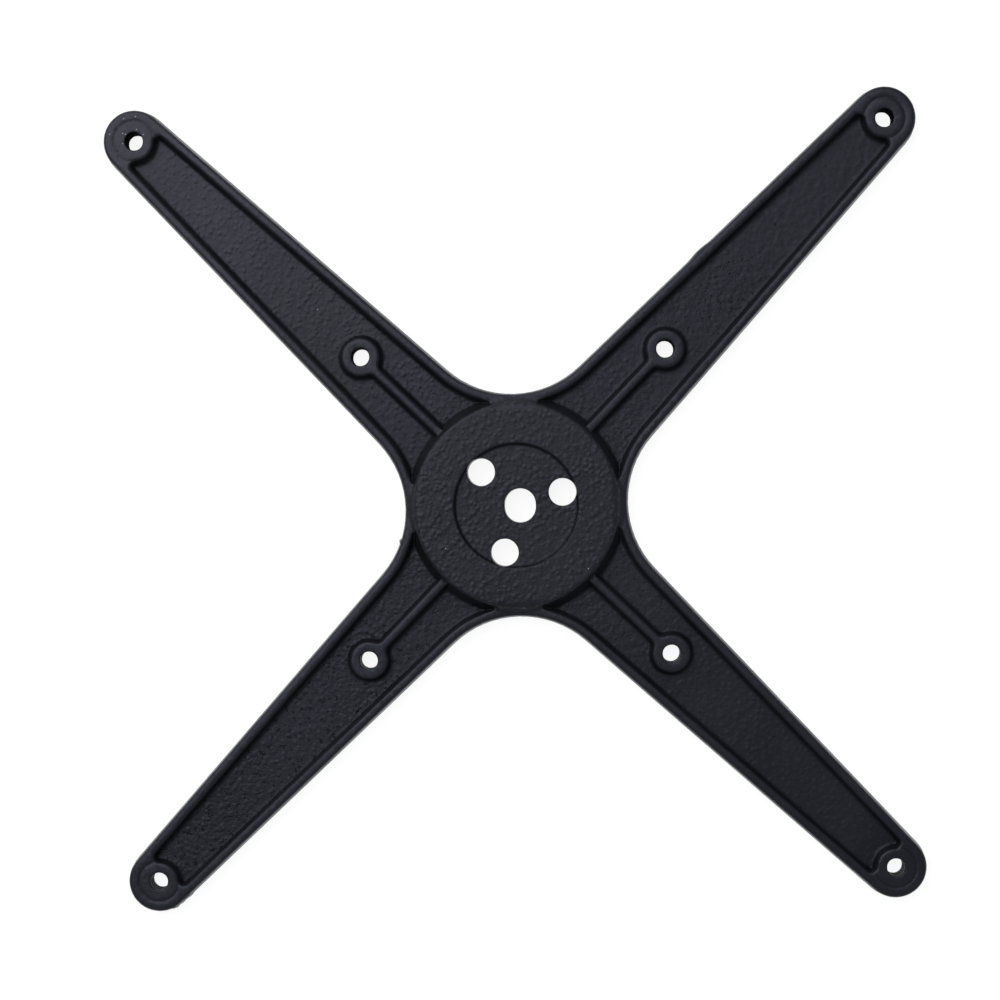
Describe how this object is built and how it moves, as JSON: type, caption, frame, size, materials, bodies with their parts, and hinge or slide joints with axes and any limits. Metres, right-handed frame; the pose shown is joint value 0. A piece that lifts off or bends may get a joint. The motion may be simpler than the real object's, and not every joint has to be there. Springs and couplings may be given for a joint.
{
  "type": "cross table base",
  "caption": "Cross-shaped cast bracket between a table's column and its top, with tapering rimmed arms, screw bosses and a round hub with a seat and bolt holes.",
  "frame": {"origin": "centre of the hub on the flat back, which is the face that bears on the table top", "axes": "+Z out of the ribbed face, square to the flat back; the arms lie at 45 degrees to X and Y; one column bolt hole is in line with the arm at 135 degrees, and the oval tie rod hole is off centre towards +X"},
  "size_m": [0.3232, 0.3232, 0.0102],
  "materials": {
    "cast_body": "satin black paint over a rough cast skin"
  },
  "bodies": {
    "root": {"cross_casting": "cast_body"}
  },
  "joints": []
}
